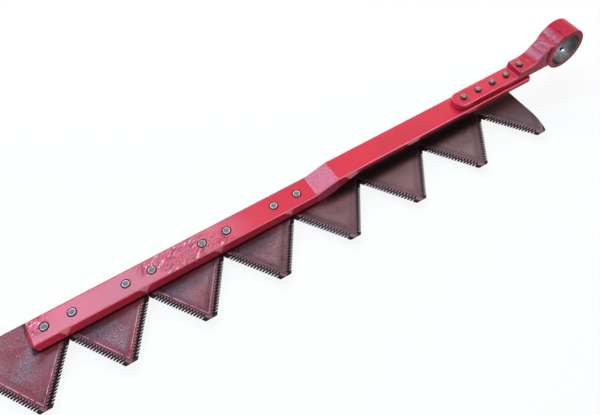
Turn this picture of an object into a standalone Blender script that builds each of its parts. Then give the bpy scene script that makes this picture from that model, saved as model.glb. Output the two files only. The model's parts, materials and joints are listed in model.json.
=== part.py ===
"""The knife of a sickle bar mower, lying flat as it runs in its cutter bar.

Eight triangular sections stand side by side on a flat knife back. A forged head bar is riveted on top of
them. Past its joggle it runs clear above the sections, so that the hold-down can pass between, and there it
carries the knife head: a flat tongue, a short neck and the eye that the drive pin goes into.

The knife is drawn with X along it toward the eye, -Y toward the tips of the sections, and Z up from the
sections' top faces. The empty knife_origin then moves it, so that the middle of its base is the origin.
Sizes are in metres.
"""

import math

import bmesh
import bpy
from mathutils import Matrix, Vector

CLEARANCE = 0.0003  # between pieces that touch or nest
ROUND_SIDES = 16  # of a rivet and of its holes
ARC_STEPS = 4  # of a rounded corner
CUT_BEYOND = 0.002  # how far a cutter runs past what it cuts
CUTTER_BLOCK = 0.2  # side of the cube that a bevel's cutter is cut from
MERGE_DISTANCE = 1e-6
FLAT_ANGLE = 1e-3  # faces that turn by less than this are joined
SHARP_ANGLE = math.radians(30)  # edges that turn by more than this are shaded sharp
BEVEL_ANGLE = math.radians(40)  # and by more than this are bevelled

# Sections
SECTION_COUNT = 8
SECTION_PITCH = 0.0762
SECTION_THICKNESS = 0.003
SECTION_BACK = 0.036
SECTION_REACH = 0.0491
SHOULDER_RADIUS = 0.002
TIP_WIDTH = 0.0112
TIP_RADIUS = 0.0008
BEVEL_WIDTH = 0.0063
EDGE_LAND = 0.0003
RUNOUT_START = 0.0055  # where the bevel starts to run out, in front of the root line
RUNOUT_END = 0.0012  # where it ends at the section's side
RUNOUT_SLOPE = math.radians(40)
RIVET_SPREAD = 0.0508  # between a section's two rivets
RIVET_LINE = 0.015  # every rivet, the bars and the eye are centred on this line

# Serration of a cutting edge
TOOTH_COUNT = 17
TOOTH_PITCH = 0.00306
FIRST_GROOVE = 0.0047  # from the root, along the edge
GROOVE_TURN = math.radians(15)  # from X, turned the same way on both edges
GROOVE_DEPTH = 0.0011  # square to the bevel
GROOVE_INSET = 0.005  # where a groove runs out on the bevel, square to the edge
GROOVE_RUN_IN = 0.0008  # over which its floor rises to the bevel
GROOVE_FILL = 0.85  # how much of the bevel the grooves take
GROOVE_OVER = 0.00005  # how far a groove's cutter keeps its slopes above the bevel

# End section, cut off beside the eye
END_SIDE = 0.009  # its plain side from its middle line
END_TIP = 0.0042  # the tip's right end from its middle line
END_CURVE_START = 0.022  # where the plain side starts to curve, in front of the root line

# Knife back
BACK_START = 0.001
BACK_SHORT = 0.0005  # how far it stops before the end section's plain side
BACK_WIDTH = 0.020
BACK_THICKNESS = 0.006

# Head bar
BAR_START = 0.0448
BAR_END_BEFORE_EYE = 0.0432  # from the bar's right end to the eye's middle
BAR_WIDTH = 0.0254
BAR_THICKNESS = 0.012
BAR_END_LEAN = 0.0056  # how far its left end leans back from foot to top
BAR_CORNER_BACK = 0.0062  # how far its left corners are cut off at the foot, along the bar
BAR_CORNER_SIDE = 0.0079  # and across it
BAR_CORNER_RADIUS = 0.003
BAR_EDGE = 0.0008
STRIP_CLEAR = 0.0133  # the raised strip's underside over the sections
STRIP_THICKNESS = 0.006
JOGGLE_START = 0.333  # where its top starts to rise
JOGGLE_LENGTH = 0.024
JOGGLE_UNDER_START = 0.345  # where its underside starts to rise
JOGGLE_UNDER_LENGTH = 0.037

# Knife head, whose places along the bar are given as lengths before the eye's middle
EYE_X = 0.6417
EYE_RAISE = 0.0144  # the eye's middle over the tongue's underside
TONGUE_LENGTH = 0.1364
TONGUE_WIDTH = 0.020
TONGUE_THICKNESS = 0.0065
TONGUE_RADIUS = 0.0085
NECK_LENGTH = 0.0602
NECK_LEAN = 0.0015
NECK_STEP = 0.0062
RISE_LENGTH = 0.0388
RISE_TOP_LENGTH = 0.0217
RISE_HEIGHT = 0.0148
RISE_RADIUS = 0.024
HEAD_EDGE = 0.0012
EYE_BORE_RADIUS = 0.0178
EYE_OUTER_RADIUS = 0.0229
EYE_WIDTH = 0.024
EYE_EDGE = 0.0009
EYE_SIDES = 48
NECK_END_ANGLE = math.radians(40)  # where the neck ends inside the eye's wall, up from the eye's middle
OIL_HOLE_RADIUS = 0.003
OIL_HOLE_ANGLE = math.radians(-52)

# Rivets that hold the sections
SHANK_RADIUS = 0.003
FOOT_RADIUS = 0.005
FOOT_DEPTH = 0.002
FOOT_RECESS = 0.0001
TOP_RADIUS = 0.0041
TOP_HEIGHT = 0.0013
TOP_EDGE = 0.0006
SPOT_RADIUS = 0.0047
SPOT_DEPTH = 0.0008

# Rivets that hold the knife head
HEAD_RIVET_COUNT = 4
HEAD_RIVET_FIRST = 0.0122  # from the tongue's end
HEAD_RIVET_LAST = 0.0085  # from the neck's step
NECK_RIVET_INSET = 0.0075  # past the neck's step
HEAD_SHANK_RADIUS = 0.0025
HEAD_RIVET_RADIUS = 0.0035
HEAD_RIVET_HEIGHT = 0.0025
HEAD_RIVET_FLAT = 0.0017
HEAD_RIVET_SHOULDER = 0.002  # its height halfway between the flat and the rim
CLOSING_HEIGHT = 0.0018

# Levels and places that follow from the sizes
SECTION_SIDE = (SECTION_PITCH - CLEARANCE) / 2
BACK_TOP = -SECTION_THICKNESS - CLEARANCE
BACK_UNDER = BACK_TOP - BACK_THICKNESS
BAR_UNDER = CLEARANCE
BAR_TOP = BAR_UNDER + BAR_THICKNESS
BAR_END = EYE_X - BAR_END_BEFORE_EYE
STRIP_TOP = STRIP_CLEAR + STRIP_THICKNESS
TONGUE_START = EYE_X - TONGUE_LENGTH
TONGUE_UNDER = STRIP_TOP + CLEARANCE
TONGUE_TOP = TONGUE_UNDER + TONGUE_THICKNESS
NECK_START = EYE_X - NECK_LENGTH
NECK_TOP = TONGUE_TOP + NECK_STEP
EYE_Z = TONGUE_UNDER + EYE_RAISE
NECK_RIVET = NECK_START + NECK_RIVET_INSET
HEAD_RIVET_PITCH = (TONGUE_LENGTH - NECK_LENGTH - HEAD_RIVET_FIRST - HEAD_RIVET_LAST) / (
    HEAD_RIVET_COUNT - 1
)
HEAD_RIVETS = [
    TONGUE_START + HEAD_RIVET_FIRST + HEAD_RIVET_PITCH * place for place in range(HEAD_RIVET_COUNT)
]
EDGE_RUN = SECTION_SIDE - TIP_WIDTH / 2
EDGE_ANGLE = math.atan2(EDGE_RUN, SECTION_REACH)  # between a cutting edge and the Y axis
KNIFE_BASE_CENTRE = (
    (CLEARANCE / 2 + EYE_X + EYE_OUTER_RADIUS) / 2,
    (SECTION_BACK - SECTION_REACH) / 2,
    BACK_UNDER,
)

for old in list(bpy.data.objects):
    bpy.data.objects.remove(old, do_unlink=True)


def new_collection(name):
    made = bpy.data.collections.new(name)
    bpy.context.scene.collection.children.link(made)
    return made


def new_material(name, colour, metallic, roughness):
    made = bpy.data.materials.new(name)
    made.use_nodes = True
    made.diffuse_color = (*colour, 1)
    shader = made.node_tree.nodes["Principled BSDF"]
    shader.inputs["Base Color"].default_value = (*colour, 1)
    shader.inputs["Metallic"].default_value = metallic
    shader.inputs["Roughness"].default_value = roughness
    return made


knife = new_collection("sickle_bar_knife")
cutters = new_collection("knife_cutters")
cutters.hide_render = True

section_lacquer = new_material("section_lacquer", (0.13, 0.075, 0.08), 0.3, 0.45)
bar_paint = new_material("bar_paint", (0.62, 0.02, 0.045), 0.0, 0.3)
head_paint = new_material("head_paint", (0.52, 0.015, 0.045), 0.0, 0.3)
back_steel = new_material("back_steel", (0.16, 0.15, 0.15), 0.8, 0.5)
section_rivet_steel = new_material("section_rivet_steel", (0.30, 0.30, 0.28), 0.9, 0.45)
head_rivet_steel = new_material("head_rivet_steel", (0.26, 0.25, 0.24), 0.9, 0.45)

knife_origin = bpy.data.objects.new("knife_origin", None)
knife_origin.location = -Vector(KNIFE_BASE_CENTRE)
knife.objects.link(knife_origin)


def mesh_from(name, bm):
    bmesh.ops.recalc_face_normals(bm, faces=bm.faces)
    mesh = bpy.data.meshes.new(name)
    bm.to_mesh(mesh)
    bm.free()
    return mesh


def new_piece(name, mesh, paint, at=(0, 0, 0)):
    """A sub-part of the knife: its own object, with its own material."""
    mesh.materials.clear()
    mesh.materials.append(paint)
    piece = bpy.data.objects.new(name, mesh)
    piece.location = at
    piece.parent = knife_origin
    knife.objects.link(piece)
    return piece


def new_cutter(name, mesh):
    made = bpy.data.objects.new(name, mesh)
    made.hide_render = True
    made.display_type = "WIRE"
    made.parent = knife_origin
    cutters.objects.link(made)
    return made


def add_boolean(piece, other, operation="DIFFERENCE"):
    made = piece.modifiers.new(other.name, "BOOLEAN")
    made.operation = operation
    made.solver = "EXACT"
    made.object = other


def add_bevel(piece, width):
    made = piece.modifiers.new("edges", "BEVEL")
    made.width = width
    made.segments = 1
    made.limit_method = "ANGLE"
    made.angle_limit = BEVEL_ANGLE


def evaluated_mesh(made):
    """The mesh that an object's modifiers or its curve give, with its object removed."""
    bpy.context.view_layer.update()
    graph = bpy.context.evaluated_depsgraph_get()
    mesh = bpy.data.meshes.new_from_object(made.evaluated_get(graph))
    bpy.data.objects.remove(made, do_unlink=True)
    return mesh


def shaded(mesh):
    mesh.shade_smooth()
    mesh.set_sharp_from_angle(angle=SHARP_ANGLE)
    return mesh


def rounded(corners):
    """The points of an outline whose corners are (a, b) when sharp and (a, b, radius) when rounded."""
    points = []
    for place, corner in enumerate(corners):
        here = Vector(corner[:2])
        if len(corner) == 2:
            points.append(here)
            continue
        before = (Vector(corners[place - 1][:2]) - here).normalized()
        after = (Vector(corners[(place + 1) % len(corners)][:2]) - here).normalized()
        half = before.angle(after) / 2
        centre = here + (before + after).normalized() * (corner[2] / math.sin(half))
        start = here + before * (corner[2] / math.tan(half)) - centre
        end = here + after * (corner[2] / math.tan(half)) - centre
        turn = math.atan2(start.cross(end), start.dot(end))
        for step in range(ARC_STEPS + 1):
            angle = math.atan2(start.y, start.x) + turn * step / ARC_STEPS
            points.append(centre + corner[2] * Vector((math.cos(angle), math.sin(angle))))
    return points


def plate(name, corners, low, high, along="Z"):
    """A mesh of an outline given thickness: (x, y) corners along Z, or (x, z) corners along Y."""
    outline = rounded(corners)
    curve = bpy.data.curves.new(name, "CURVE")
    curve.dimensions = "2D"
    curve.fill_mode = "BOTH"
    curve.extrude = (high - low) / 2
    spline = curve.splines.new("POLY")
    spline.points.add(len(outline) - 1)
    for point, place in zip(spline.points, outline):
        point.co = (*place, 0, 1)
    spline.use_cyclic_u = True
    made = bpy.data.objects.new(name, curve)
    bpy.context.scene.collection.objects.link(made)
    mesh = evaluated_mesh(made)
    middle = (low + high) / 2
    if along == "Y":
        mesh.transform(Matrix.Translation((0, middle, 0)) @ Matrix.Rotation(math.pi / 2, 4, "X"))
    else:
        mesh.transform(Matrix.Translation((0, 0, middle)))
    bm = bmesh.new()
    bm.from_mesh(mesh)
    bmesh.ops.remove_doubles(bm, verts=bm.verts, dist=MERGE_DISTANCE)
    bmesh.ops.dissolve_limit(bm, angle_limit=FLAT_ANGLE, verts=bm.verts, edges=bm.edges)
    return shaded(mesh_from(name, bm))


def turned(name, profile, sides):
    """A mesh turned about Z from a profile of (radius, height) that runs from its top to its foot."""
    bm = bmesh.new()
    points = [bm.verts.new((radius, 0, height)) for radius, height in profile]
    for above, below in zip(points, points[1:]):
        bm.edges.new((above, below))
    mesh = bpy.data.meshes.new(name)
    bm.to_mesh(mesh)
    bm.free()
    made = bpy.data.objects.new(name, mesh)
    bpy.context.scene.collection.objects.link(made)
    screw = made.modifiers.new("turn", "SCREW")
    screw.steps = sides
    screw.render_steps = sides
    screw.use_merge_vertices = True
    screw.merge_threshold = MERGE_DISTANCE
    return shaded(evaluated_mesh(made))


def cylinders(name, places, radius, low, high, foot_radius=None, line=RIVET_LINE):
    """One mesh of upright cylinders, or of cones where foot_radius is given, at these X places."""
    bm = bmesh.new()
    for x in places:
        bmesh.ops.create_cone(
            bm,
            cap_ends=True,
            segments=ROUND_SIDES,
            radius1=foot_radius or radius,
            radius2=radius,
            depth=high - low,
            matrix=Matrix.Translation((x, line, (low + high) / 2)),
        )
    return mesh_from(name, bm)


def round_upright_edges(mesh, x, radius):
    """Rounds the upright edges of a mesh that stand at this X."""
    bm = bmesh.new()
    bm.from_mesh(mesh)
    near = CLEARANCE / 3
    corners = [
        edge
        for edge in bm.edges
        if all(abs(end.co.x - x) < near for end in edge.verts)
        and abs(edge.verts[0].co.y - edge.verts[1].co.y) < near
    ]
    bmesh.ops.bevel(
        bm, geom=corners, offset=radius, segments=ARC_STEPS, profile=0.5, affect="EDGES"
    )
    bm.to_mesh(mesh)
    bm.free()


def trim(bm, point, normal):
    """Cuts a convex mesh by a plane, and keeps what lies behind it."""
    bmesh.ops.bisect_plane(
        bm,
        geom=bm.verts[:] + bm.edges[:] + bm.faces[:],
        plane_co=point,
        plane_no=normal,
        clear_outer=True,
    )
    bmesh.ops.holes_fill(bm, edges=bm.edges, sides=0)


def section_middle(number):
    return SECTION_PITCH * (number - 0.5)


def section_rivets(number):
    """The X places of a section's two rivets. The end section has its right one on its middle line."""
    middle = section_middle(number)
    if number == SECTION_COUNT:
        return (middle - RIVET_SPREAD / 2, middle)
    return (middle - RIVET_SPREAD / 2, middle + RIVET_SPREAD / 2)


# Sections
#
# A section is drawn about its own middle line, and its right half first: the left one is its mirror image.
# A bevel falls from the top face to the cutting edge, and rises to the top again beside the root.


def edge_point(along, inset):
    """The plan point this far along the right cutting edge from the root, and this far inside it."""
    forward = Vector((-math.sin(EDGE_ANGLE), -math.cos(EDGE_ANGLE)))
    inward = Vector((-math.cos(EDGE_ANGLE), math.sin(EDGE_ANGLE)))
    return Vector((SECTION_SIDE, 0)) + forward * along + inward * inset


def mirrored(bm, side):
    if side < 0:
        bmesh.ops.scale(bm, vec=(-1, 1, 1), verts=bm.verts)
    return bm


def bevel_cutter(name, side):
    """All that is above the bevel of one cutting edge and above its run-out."""
    bm = bmesh.new()
    bmesh.ops.create_cube(bm, size=CUTTER_BLOCK)
    outward = Vector((math.cos(EDGE_ANGLE), -math.sin(EDGE_ANGLE), 0))
    fall = (SECTION_THICKNESS - EDGE_LAND) / BEVEL_WIDTH
    above_bevel = outward * fall + Vector((0, 0, 1))
    trim(bm, (*edge_point(0, BEVEL_WIDTH), 0), -above_bevel)
    start = edge_point(RUNOUT_START / math.cos(EDGE_ANGLE), BEVEL_WIDTH)
    end = Vector((SECTION_SIDE, -RUNOUT_END))
    along = (end - start).normalized()
    above_runout = Vector((along.y, -along.x, 0)) * math.tan(RUNOUT_SLOPE) + Vector((0, 0, 1))
    trim(bm, (*start, 0), -above_runout)
    return new_cutter(name, mesh_from(name, mirrored(bm, side)))


def groove_cutter(name, side):
    """The grooves of one cutting edge: a row of V shapes that lie in the bevel, all the same way."""
    outward = Vector((math.cos(EDGE_ANGLE), -math.sin(EDGE_ANGLE), 0))
    fall = (SECTION_THICKNESS - EDGE_LAND) / BEVEL_WIDTH
    up = (outward * fall + Vector((0, 0, 1))).normalized()
    along = Vector((math.cos(GROOVE_TURN), math.sin(GROOVE_TURN) * side, 0))
    inset = GROOVE_INSET / along.dot(outward)
    along.z = -along.dot(outward) * fall
    across = up.cross(along).normalized()
    edge_way = (edge_point(TOOTH_PITCH, 0) - edge_point(0, 0)).to_3d()
    half_width = abs(edge_way.dot(across)) * GROOVE_FILL / 2
    stations = (
        (-2 * CUT_BEYOND, -GROOVE_DEPTH),
        (inset - GROOVE_RUN_IN, -GROOVE_DEPTH),
        (inset, GROOVE_OVER),
    )
    bm = bmesh.new()
    for groove in range(TOOTH_COUNT):
        edge = edge_point(FIRST_GROOVE + groove * TOOTH_PITCH, 0).to_3d()
        edge.z = EDGE_LAND - SECTION_THICKNESS
        rings = []
        for inside, floor in stations:
            middle = edge - along * inside
            rings.append(
                [
                    bm.verts.new(middle + across * aside + up * height)
                    for aside, height in (
                        (0, floor),
                        (half_width, GROOVE_OVER),
                        (half_width, CUT_BEYOND),
                        (-half_width, CUT_BEYOND),
                        (-half_width, GROOVE_OVER),
                    )
                ]
            )
        bm.faces.new(rings[0])
        bm.faces.new(rings[-1])
        for near, far in zip(rings, rings[1:]):
            for place in range(len(near)):
                after = (place + 1) % len(near)
                bm.faces.new((near[place], near[after], far[after], far[place]))
    return new_cutter(name, mesh_from(name, mirrored(bm, side)))


def section_blank(name, right_side):
    """A section's outline at full thickness, from its left back corner round to the right one."""
    left_side = [
        (-SECTION_SIDE, SECTION_BACK),
        (-SECTION_SIDE, 0, SHOULDER_RADIUS),
        (-TIP_WIDTH / 2, -SECTION_REACH, TIP_RADIUS),
    ]
    return plate(name, left_side + right_side, -SECTION_THICKNESS, 0)


bevels = [bevel_cutter("left_bevel", -1), bevel_cutter("right_bevel", 1)]
grooves = [groove_cutter("left_grooves", -1), groove_cutter("right_grooves", 1)]


def section_mesh(name, right_side, sides, rivets):
    blank = bpy.data.objects.new(name, section_blank(name, right_side))
    blank.parent = knife_origin
    knife.objects.link(blank)
    for cutter in bevels[:sides] + grooves[:sides]:
        add_boolean(blank, cutter)
    beyond = (-SECTION_THICKNESS - CUT_BEYOND, CUT_BEYOND)
    holes = new_cutter(name + "_holes", cylinders(name, rivets, SHANK_RADIUS + CLEARANCE, *beyond))
    add_boolean(blank, holes)
    return evaluated_mesh(blank)


full_section = section_mesh(
    "full_section",
    [
        (TIP_WIDTH / 2, -SECTION_REACH, TIP_RADIUS),
        (SECTION_SIDE, 0, SHOULDER_RADIUS),
        (SECTION_SIDE, SECTION_BACK),
    ],
    2,
    (-RIVET_SPREAD / 2, RIVET_SPREAD / 2),
)
for number in range(1, SECTION_COUNT):
    new_piece(f"section_{number}", full_section, section_lacquer, (section_middle(number), 0, 0))

# The end section's plain side ends in an arc that starts straight and meets the end of the tip.
end_drop = SECTION_REACH - END_CURVE_START
end_in = END_SIDE - END_TIP
end_radius = (end_in**2 + end_drop**2) / (2 * end_in)
end_turn = math.asin(end_drop / end_radius)
end_arc = [
    (
        END_SIDE - end_radius + end_radius * math.cos(end_turn * step / (2 * ARC_STEPS)),
        -END_CURVE_START - end_radius * math.sin(end_turn * step / (2 * ARC_STEPS)),
    )
    for step in range(2 * ARC_STEPS, -1, -1)
]
end_section = section_mesh(
    "end_blank", end_arc + [(END_SIDE, SECTION_BACK)], 1, (-RIVET_SPREAD / 2, 0)
)
new_piece("end_section", end_section, section_lacquer, (section_middle(SECTION_COUNT), 0, 0))

# Knife back: the flat bar under the sections, whose underside the knife rests on
all_rivets = [x for number in range(1, SECTION_COUNT + 1) for x in section_rivets(number)]
back_end = section_middle(SECTION_COUNT) + END_SIDE - BACK_SHORT
bm = bmesh.new()
bmesh.ops.create_cube(bm, size=1)
bmesh.ops.scale(bm, vec=(back_end - BACK_START, BACK_WIDTH, BACK_THICKNESS), verts=bm.verts)
back_middle = ((BACK_START + back_end) / 2, RIVET_LINE, (BACK_TOP + BACK_UNDER) / 2)
bmesh.ops.translate(bm, vec=back_middle, verts=bm.verts)
knife_back = new_piece("knife_back", mesh_from("knife_back", bm), back_steel)
back_holes = cylinders(
    "back_holes",
    all_rivets,
    SHANK_RADIUS + CLEARANCE,
    BACK_UNDER - CUT_BEYOND,
    BACK_TOP + CUT_BEYOND,
)
add_boolean(knife_back, new_cutter("back_holes", back_holes))
foot_lean = (FOOT_RADIUS - SHANK_RADIUS) / FOOT_DEPTH
foot_cones = cylinders(
    "foot_cones",
    all_rivets,
    SHANK_RADIUS,
    BACK_UNDER - CUT_BEYOND,
    BACK_UNDER + FOOT_RECESS + FOOT_DEPTH + CLEARANCE / foot_lean,
    foot_radius=FOOT_RADIUS + CLEARANCE + (CUT_BEYOND + FOOT_RECESS) * foot_lean,
)
add_boolean(knife_back, new_cutter("foot_cones", foot_cones))

# Head bar: a thick part on the sections, the joggle, and the raised strip
bar_front = RIVET_LINE - BAR_WIDTH / 2
bar_rear = RIVET_LINE + BAR_WIDTH / 2
bar_side = [
    (BAR_START, BAR_UNDER),
    (JOGGLE_UNDER_START, BAR_UNDER),
    (JOGGLE_UNDER_START + JOGGLE_UNDER_LENGTH, STRIP_CLEAR),
    (BAR_END, STRIP_CLEAR),
    (BAR_END, STRIP_TOP),
    (JOGGLE_START + JOGGLE_LENGTH, STRIP_TOP),
    (JOGGLE_START, BAR_TOP),
    (BAR_START + BAR_END_LEAN, BAR_TOP),
]
bar_mesh = plate("head_bar", bar_side, bar_front, bar_rear, along="Y")
round_upright_edges(bar_mesh, BAR_END, BAR_CORNER_RADIUS)
bm = bmesh.new()
bm.from_mesh(bar_mesh)
for side in (-1, 1):
    face_y = RIVET_LINE + side * BAR_WIDTH / 2
    top = Vector((BAR_START + BAR_END_LEAN, face_y, BAR_TOP))
    foot_end = Vector((BAR_START, face_y - side * BAR_CORNER_SIDE, BAR_UNDER))
    foot_side = Vector((BAR_START + BAR_CORNER_BACK, face_y, BAR_UNDER))
    outward = (foot_side - top).cross(foot_end - top) * side
    trim(bm, top, outward.normalized())
head_bar = new_piece("head_bar", mesh_from("head_bar", bm), bar_paint)
add_bevel(head_bar, BAR_EDGE)
long_rivets = [x for x in all_rivets if BAR_START < x < JOGGLE_START]
bar_holes = cylinders(
    "bar_holes", long_rivets, SHANK_RADIUS + CLEARANCE, -CUT_BEYOND, BAR_TOP + CUT_BEYOND
)
add_boolean(head_bar, new_cutter("bar_holes", bar_holes))
spot_faces = cylinders(
    "spot_faces", long_rivets, SPOT_RADIUS, BAR_TOP - SPOT_DEPTH, BAR_TOP + CUT_BEYOND
)
add_boolean(head_bar, new_cutter("spot_faces", spot_faces))
strip_holes = cylinders(
    "strip_holes",
    (*HEAD_RIVETS, NECK_RIVET),
    HEAD_SHANK_RADIUS + CLEARANCE,
    STRIP_CLEAR - CUT_BEYOND,
    NECK_TOP + CUT_BEYOND,
)
strip_cutter = new_cutter("strip_holes", strip_holes)
add_boolean(head_bar, strip_cutter)

# Knife head: the tongue and neck in one side outline, then the eye
tongue_front = RIVET_LINE - TONGUE_WIDTH / 2
tongue_rear = RIVET_LINE + TONGUE_WIDTH / 2
into_eye = EYE_X - (EYE_BORE_RADIUS + EYE_OUTER_RADIUS) / 2 * math.cos(NECK_END_ANGLE)
head_side = [
    (TONGUE_START, TONGUE_UNDER),
    (into_eye, TONGUE_UNDER),
    (into_eye, NECK_TOP + RISE_HEIGHT + EYE_EDGE),
    (EYE_X - RISE_TOP_LENGTH, NECK_TOP + RISE_HEIGHT),
    (EYE_X - RISE_LENGTH, NECK_TOP, RISE_RADIUS),
    (NECK_START + NECK_LEAN, NECK_TOP),
    (NECK_START, TONGUE_TOP),
    (TONGUE_START, TONGUE_TOP),
]
head_mesh = plate("knife_head", head_side, tongue_front, tongue_rear, along="Y")
round_upright_edges(head_mesh, TONGUE_START, TONGUE_RADIUS)
knife_head = new_piece("knife_head", head_mesh, head_paint)
add_bevel(knife_head, HEAD_EDGE)


def eye_cutter(name, profile):
    """A solid turned about the eye's axis, from (radius, distance behind the front face)."""
    mesh = turned(name, profile, EYE_SIDES)
    front = RIVET_LINE - EYE_WIDTH / 2
    mesh.transform(
        Matrix.Translation((EYE_X, front, EYE_Z)) @ Matrix.Rotation(-math.pi / 2, 4, "X")
    )
    return new_cutter(name, mesh)


eye_ring = eye_cutter(
    "eye_ring",
    [
        (0, EYE_WIDTH),
        (EYE_OUTER_RADIUS - EYE_EDGE, EYE_WIDTH),
        (EYE_OUTER_RADIUS, EYE_WIDTH - EYE_EDGE),
        (EYE_OUTER_RADIUS, EYE_EDGE),
        (EYE_OUTER_RADIUS - EYE_EDGE, 0),
        (0, 0),
    ],
)
flare = EYE_BORE_RADIUS + EYE_EDGE + CUT_BEYOND
eye_bore = eye_cutter(
    "eye_bore",
    [
        (0, EYE_WIDTH + CUT_BEYOND),
        (flare, EYE_WIDTH + CUT_BEYOND),
        (EYE_BORE_RADIUS, EYE_WIDTH - EYE_EDGE),
        (EYE_BORE_RADIUS, EYE_EDGE),
        (flare, -CUT_BEYOND),
        (0, -CUT_BEYOND),
    ],
)
oil_hole = cylinders(
    "oil_hole",
    (0,),
    OIL_HOLE_RADIUS,
    EYE_BORE_RADIUS - CUT_BEYOND,
    EYE_OUTER_RADIUS + CUT_BEYOND,
    line=0,
)
oil_hole.transform(
    Matrix.Translation((EYE_X, RIVET_LINE, EYE_Z))
    @ Matrix.Rotation(math.pi / 2 - OIL_HOLE_ANGLE, 4, "Y")
)
add_boolean(knife_head, eye_ring, "UNION")
add_boolean(knife_head, eye_bore)
add_boolean(knife_head, new_cutter("oil_hole", oil_hole))
add_boolean(knife_head, strip_cutter)


def section_rivet_mesh(name, seat, surface):
    """A rivet whose foot is flush in the knife back. Its top end stands on seat and shows over surface."""
    top = surface + TOP_HEIGHT
    foot = BACK_UNDER + FOOT_RECESS
    profile = [
        (0, top),
        (TOP_RADIUS - TOP_EDGE, top),
        (TOP_RADIUS, top - TOP_EDGE),
        (TOP_RADIUS, seat + CLEARANCE),
        (SHANK_RADIUS, seat + CLEARANCE),
        (SHANK_RADIUS, foot + FOOT_DEPTH),
        (FOOT_RADIUS, foot),
        (0, foot),
    ]
    return turned(name, profile, ROUND_SIDES)


def head_rivet_mesh(name, seat):
    """A rivet with a low round head on seat, closed under the raised strip."""
    head_foot = seat + CLEARANCE
    closing = STRIP_CLEAR - CLEARANCE
    profile = [
        (0, head_foot + HEAD_RIVET_HEIGHT),
        (HEAD_RIVET_FLAT, head_foot + HEAD_RIVET_HEIGHT),
        ((HEAD_RIVET_FLAT + HEAD_RIVET_RADIUS) / 2, head_foot + HEAD_RIVET_SHOULDER),
        (HEAD_RIVET_RADIUS, head_foot),
        (HEAD_SHANK_RADIUS, head_foot),
        (HEAD_SHANK_RADIUS, closing),
        (HEAD_RIVET_RADIUS, closing),
        (HEAD_RIVET_FLAT, closing - CLOSING_HEIGHT),
        (0, closing - CLOSING_HEIGHT),
    ]
    return turned(name, profile, ROUND_SIDES)


# Rivets, each its own piece, and those of one kind sharing a mesh
long_rivet = section_rivet_mesh("long_rivet", BAR_TOP - SPOT_DEPTH, BAR_TOP)
short_rivet = section_rivet_mesh("short_rivet", 0, CLEARANCE)
for number, x in enumerate(all_rivets, 1):
    shape = long_rivet if x in long_rivets else short_rivet
    new_piece(f"section_rivet_{number}", shape, section_rivet_steel, (x, RIVET_LINE, 0))
tongue_rivet = head_rivet_mesh("tongue_rivet", TONGUE_TOP)
neck_rivet = head_rivet_mesh("neck_rivet", NECK_TOP)
for number, x in enumerate(HEAD_RIVETS, 1):
    new_piece(f"head_rivet_{number}", tongue_rivet, head_rivet_steel, (x, RIVET_LINE, 0))
new_piece("neck_rivet", neck_rivet, head_rivet_steel, (NECK_RIVET, RIVET_LINE, 0))
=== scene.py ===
"""The knife of a sickle bar mower with its lacquer, paint and bare steel, on a plain pale floor."""

import json
import math

import bmesh
import bpy
from mathutils import Matrix, Vector

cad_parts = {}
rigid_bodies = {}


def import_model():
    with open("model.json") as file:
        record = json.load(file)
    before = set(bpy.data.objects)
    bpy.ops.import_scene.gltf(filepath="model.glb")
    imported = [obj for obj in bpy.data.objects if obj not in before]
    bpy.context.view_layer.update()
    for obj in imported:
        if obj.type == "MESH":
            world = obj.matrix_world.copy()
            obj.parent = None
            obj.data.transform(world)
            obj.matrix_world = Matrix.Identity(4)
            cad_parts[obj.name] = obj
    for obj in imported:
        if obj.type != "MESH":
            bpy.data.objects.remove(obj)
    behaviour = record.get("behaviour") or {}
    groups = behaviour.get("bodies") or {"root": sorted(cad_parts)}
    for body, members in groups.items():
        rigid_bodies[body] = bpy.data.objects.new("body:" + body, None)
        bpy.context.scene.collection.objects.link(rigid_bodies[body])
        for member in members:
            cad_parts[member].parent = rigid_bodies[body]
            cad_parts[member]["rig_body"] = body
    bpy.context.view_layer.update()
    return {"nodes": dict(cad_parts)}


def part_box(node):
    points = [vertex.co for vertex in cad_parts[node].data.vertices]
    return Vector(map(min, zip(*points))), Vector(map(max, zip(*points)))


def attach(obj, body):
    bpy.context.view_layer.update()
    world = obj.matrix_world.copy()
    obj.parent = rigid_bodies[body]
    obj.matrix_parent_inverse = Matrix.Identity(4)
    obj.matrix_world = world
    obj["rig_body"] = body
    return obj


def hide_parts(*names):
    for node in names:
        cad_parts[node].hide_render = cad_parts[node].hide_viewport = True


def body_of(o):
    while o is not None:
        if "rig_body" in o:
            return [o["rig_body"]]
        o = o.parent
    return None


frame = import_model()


# Knife back
# The flat steel bar that runs in the guards and carries every section from below. It is drawn steel with a
# thin dark scale on it, left unpainted, and only its rear edge shows beside the sections.


def new_finish(name, colour, roughness, metallic=0.0):
    """A material with its shader set, for a piece's nodes to be linked to."""
    finish = bpy.data.materials.new(name)
    finish.use_nodes = True
    shader = finish.node_tree.nodes["Principled BSDF"]
    shader.inputs["Base Color"].default_value = (*colour, 1)
    shader.inputs["Roughness"].default_value = roughness
    shader.inputs["Metallic"].default_value = metallic
    return finish, shader


def add(tree, kind, settings=None, out=0, **inputs):
    """A node in a tree, with its settings and inputs. An input is a value, or a socket that feeds it."""
    node = tree.nodes.new(kind)
    for name, value in (settings or {}).items():
        setattr(node, name, value)
    for name, value in inputs.items():
        place = int(name[1:]) if name[1:].isdigit() else name.replace("_", " ")
        if isinstance(value, bpy.types.NodeSocket):
            tree.links.new(value, node.inputs[place])
        else:
            node.inputs[place].default_value = value
    return node.outputs[out]


def work(tree, operation, first, second=0.0, third=0.0):
    """A sum on one, two or three values."""
    settings = {"operation": operation}
    return add(tree, "ShaderNodeMath", settings, i0=first, i1=second, i2=third)


def place_of(tree):
    return add(tree, "ShaderNodeTexCoord", out="Object")


def stretched(tree, scale):
    return add(tree, "ShaderNodeMapping", Vector=place_of(tree), Scale=scale)


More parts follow.
